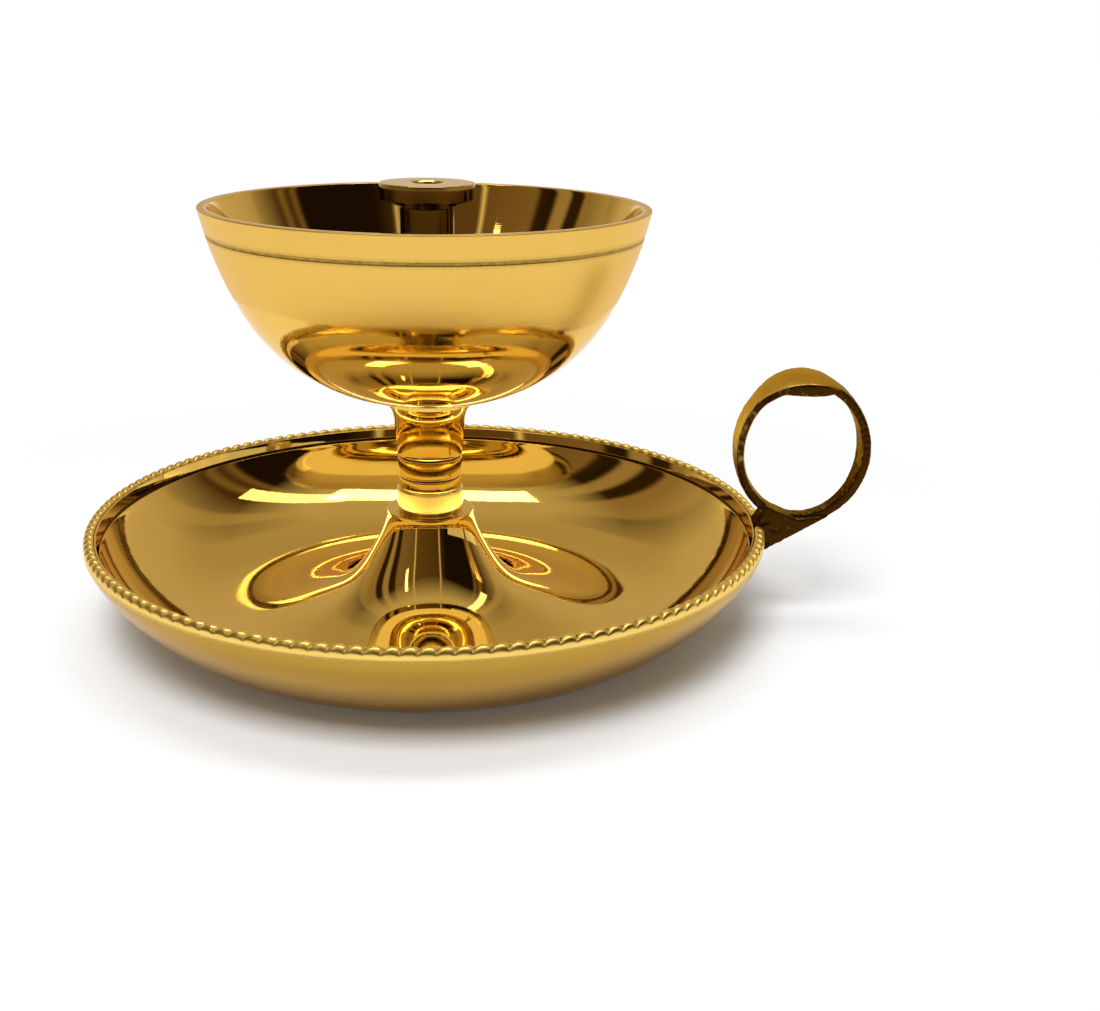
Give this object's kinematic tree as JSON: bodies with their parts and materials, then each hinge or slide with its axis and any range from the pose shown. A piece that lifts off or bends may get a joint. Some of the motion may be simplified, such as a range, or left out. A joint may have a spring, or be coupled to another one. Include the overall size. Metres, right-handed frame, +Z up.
{
  "type": "butter lamp",
  "caption": "Brass butter lamp: flared drip dish with rope edging and finger ring, trumpet foot, screwed stem, round fuel bowl and a loose flanged wick holder.",
  "frame": {"origin": "on the lamp's turning axis, at the face the dish stands on", "axes": "+Z up along the turning axis, +X from the axis towards the finger ring"},
  "size_m": [0.1288, 0.1122, 0.0727],
  "materials": {
    "polished_brass": "polished",
    "rope_brass": "polished, darkened in the valleys",
    "cast_brass": "as cast, darkened",
    "turned_brass": "bright turned"
  },
  "bodies": {
    "base_body": {"dish": "polished_brass", "rope_edging": "rope_brass", "finger_ring": "cast_brass"},
    "collar_body": {"stem_collar": "turned_brass"},
    "bowl_body": {"stem": "polished_brass", "bowl": "polished_brass"},
    "wick_holder_body": {"wick_holder": "polished_brass"}
  },
  "joints": [
    {"name": "bowl_lift", "type": "slide", "parent": "base_body", "child": "collar_body", "axis": [0, 0, 1], "range_m": [0, 0.006]},
    {"name": "bowl_turn", "type": "hinge", "parent": "collar_body", "child": "bowl_body", "pos_m": [0, 0, 0.0229], "axis": [0, 0, 1], "range_deg": [0, 2160]},
    {"name": "wick_holder_lift", "type": "slide", "parent": "bowl_body", "child": "wick_holder_body", "axis": [0, 0, 1], "range_m": [0, 0.04]}
  ],
  "couplings": [
    {"joint": "bowl_lift", "follows": "bowl_turn", "m_per_rad": 0.00015915}
  ]
}
